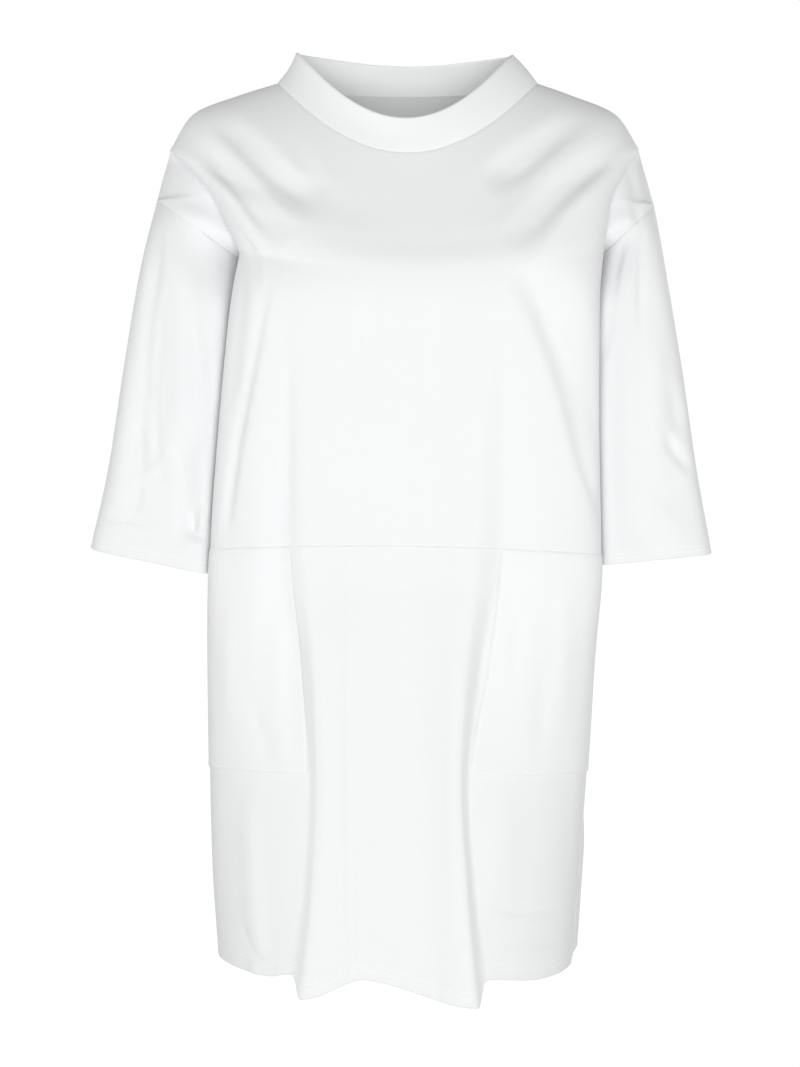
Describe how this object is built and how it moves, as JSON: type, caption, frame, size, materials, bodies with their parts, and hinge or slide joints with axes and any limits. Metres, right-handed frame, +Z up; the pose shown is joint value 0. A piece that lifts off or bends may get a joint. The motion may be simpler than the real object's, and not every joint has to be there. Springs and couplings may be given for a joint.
{
  "type": "t-shirt dress",
  "caption": "Loose white jersey T-shirt dress with stand collar, dropped shoulders, elbow sleeves, waist seam and patch pockets, hollow as worn.",
  "frame": {"origin": "midway between the shoulders at the height of the neck seam, where the wearer's shoulders carry the dress", "axes": "+Z up, the front of the dress faces -Y, +X to the right as seen from the front"},
  "size_m": [0.582, 0.2814, 0.885],
  "materials": {
    "white_jersey": "matt cotton jersey"
  },
  "bodies": {
    "root": {"collar": "white_jersey", "front_bodice": "white_jersey", "back_bodice": "white_jersey", "left_sleeve": "white_jersey", "right_sleeve": "white_jersey", "front_skirt": "white_jersey", "back_skirt": "white_jersey", "left_pocket": "white_jersey", "right_pocket": "white_jersey"}
  },
  "joints": []
}
